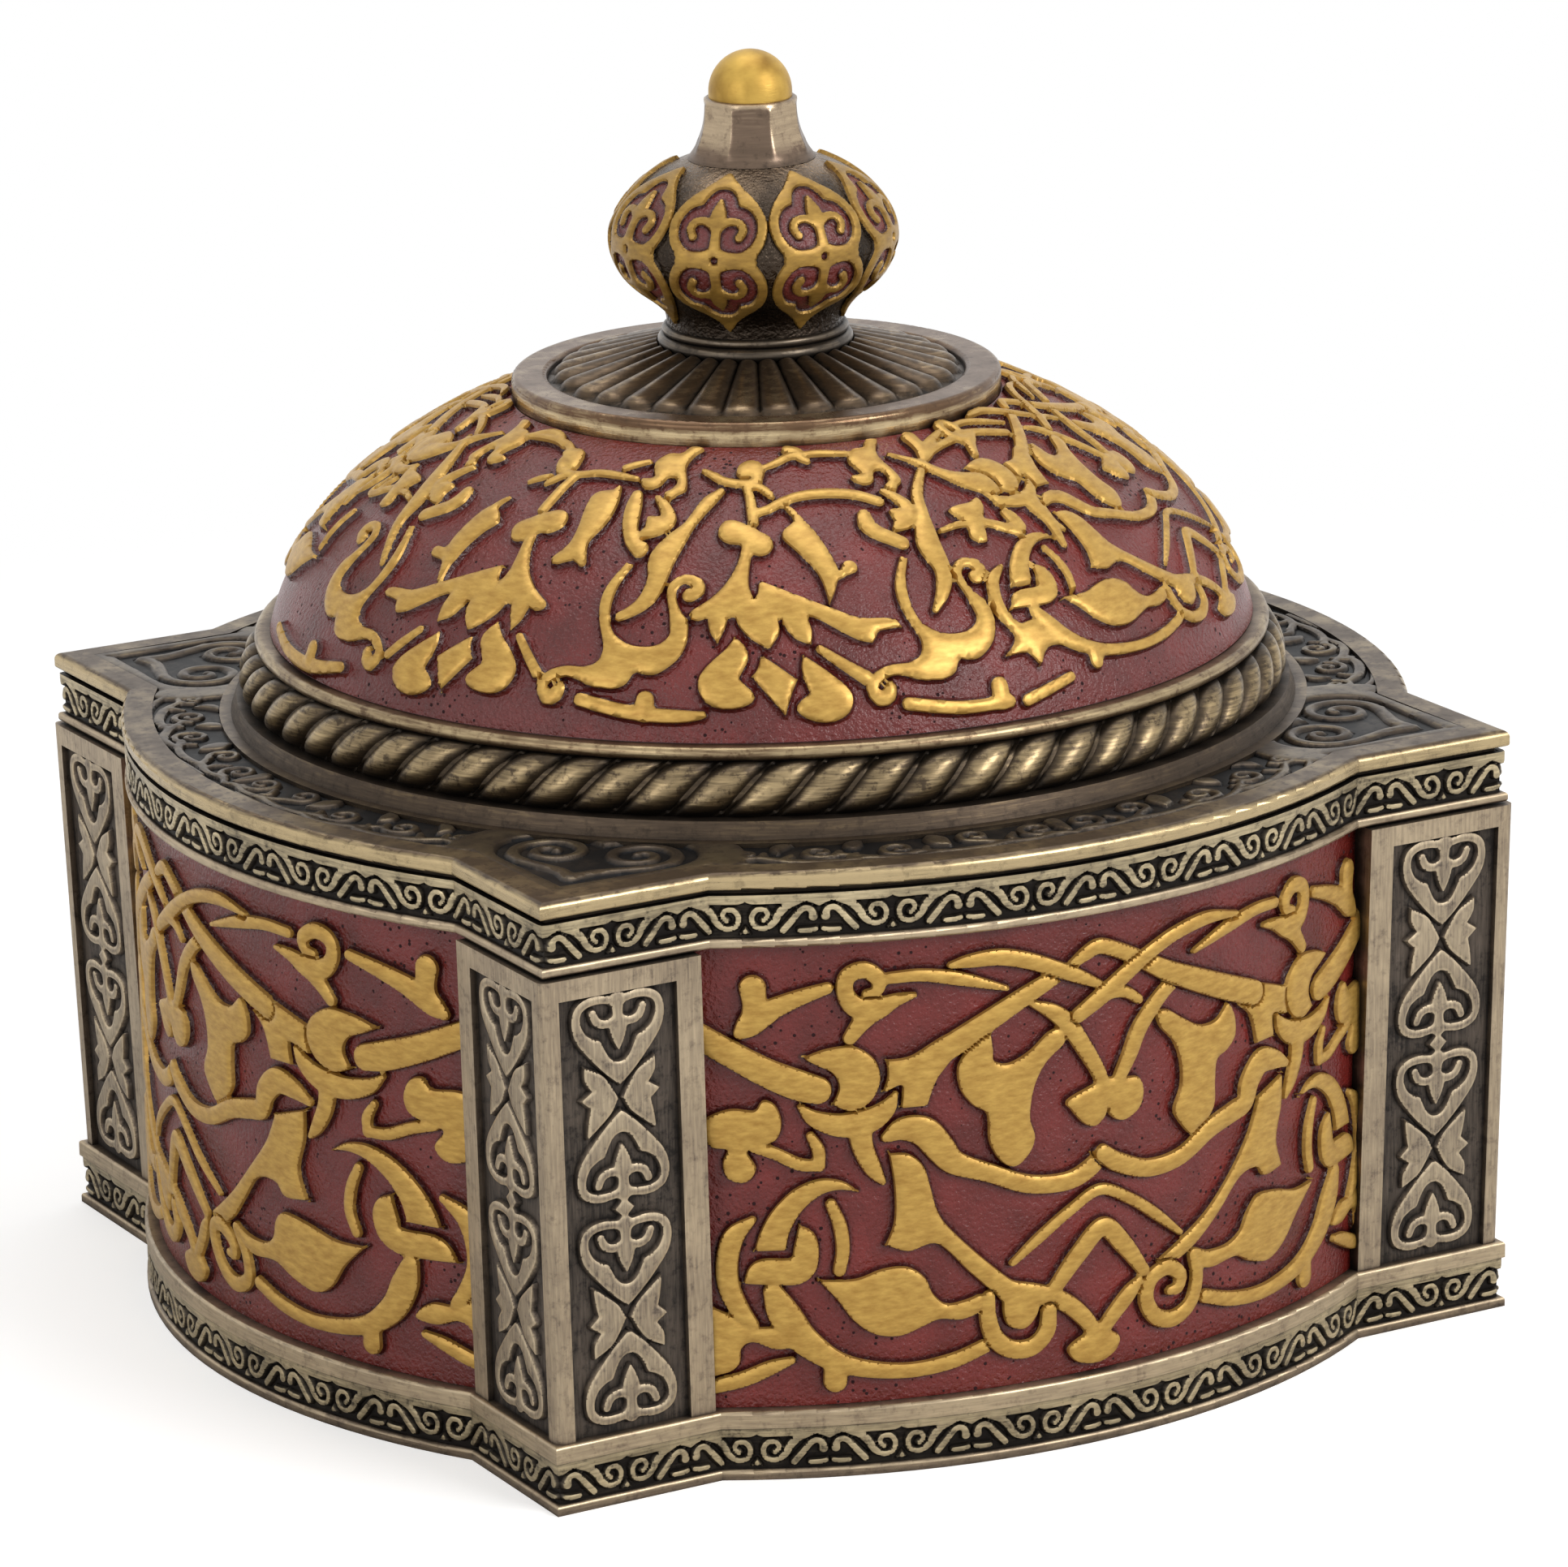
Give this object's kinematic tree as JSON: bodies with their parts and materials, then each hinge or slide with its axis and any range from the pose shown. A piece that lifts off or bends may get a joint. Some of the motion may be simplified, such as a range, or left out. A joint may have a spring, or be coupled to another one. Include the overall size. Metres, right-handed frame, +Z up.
{
  "type": "dome trinket box",
  "caption": "Square keepsake box with bowed red enamel sides, corner pillars and a loose lid with a rope-edged dome and a turned finial.",
  "frame": {"origin": "centre of the underside, on the surface the box stands on", "axes": "+Z up along the dome's axis, -Y the front panel, +X the right panel"},
  "size_m": [0.1316, 0.1316, 0.1286],
  "materials": {
    "antique_bronze_resin": "cold-cast resin with a bronze-powder face, dark in the recesses and brushed bright on the high edges",
    "red_enamel_resin": "deep red enamel paint, satin, with small pinholes",
    "gilt": "brushed gold paint, satin",
    "screw_steel": "plain bright steel",
    "felt": "short dark red felt"
  },
  "bodies": {
    "box": {"base_plinth": "antique_bronze_resin", "floor_plate": "antique_bronze_resin", "base_felt": "felt", "body_shell": "antique_bronze_resin", "floor_lining": "felt", "corner_pillar_front_left": "antique_bronze_resin", "corner_pillar_front_right": "antique_bronze_resin", "corner_pillar_back_right": "antique_bronze_resin", "corner_pillar_back_left": "antique_bronze_resin", "enamel_panel_front": "red_enamel_resin", "enamel_panel_right": "red_enamel_resin", "enamel_panel_back": "red_enamel_resin", "enamel_panel_left": "red_enamel_resin"},
    "lid": {"lid_frieze": "antique_bronze_resin", "locating_rim": "antique_bronze_resin", "lid_plate": "antique_bronze_resin", "rope_seat": "antique_bronze_resin", "rope_moulding": "antique_bronze_resin", "dome_bead": "antique_bronze_resin", "dome_shell": "red_enamel_resin", "crown_collar": "antique_bronze_resin", "gadroon_rosette": "antique_bronze_resin", "finial_stem_ring": "antique_bronze_resin", "finial_bulb": "antique_bronze_resin", "finial_neck": "antique_bronze_resin", "finial_cap": "gilt", "finial_screw": "screw_steel"}
  },
  "joints": [
    {"name": "lid_lift", "type": "slide", "parent": "box", "child": "lid", "axis": [0, 0, 1], "range_m": [0, 0.07]}
  ]
}
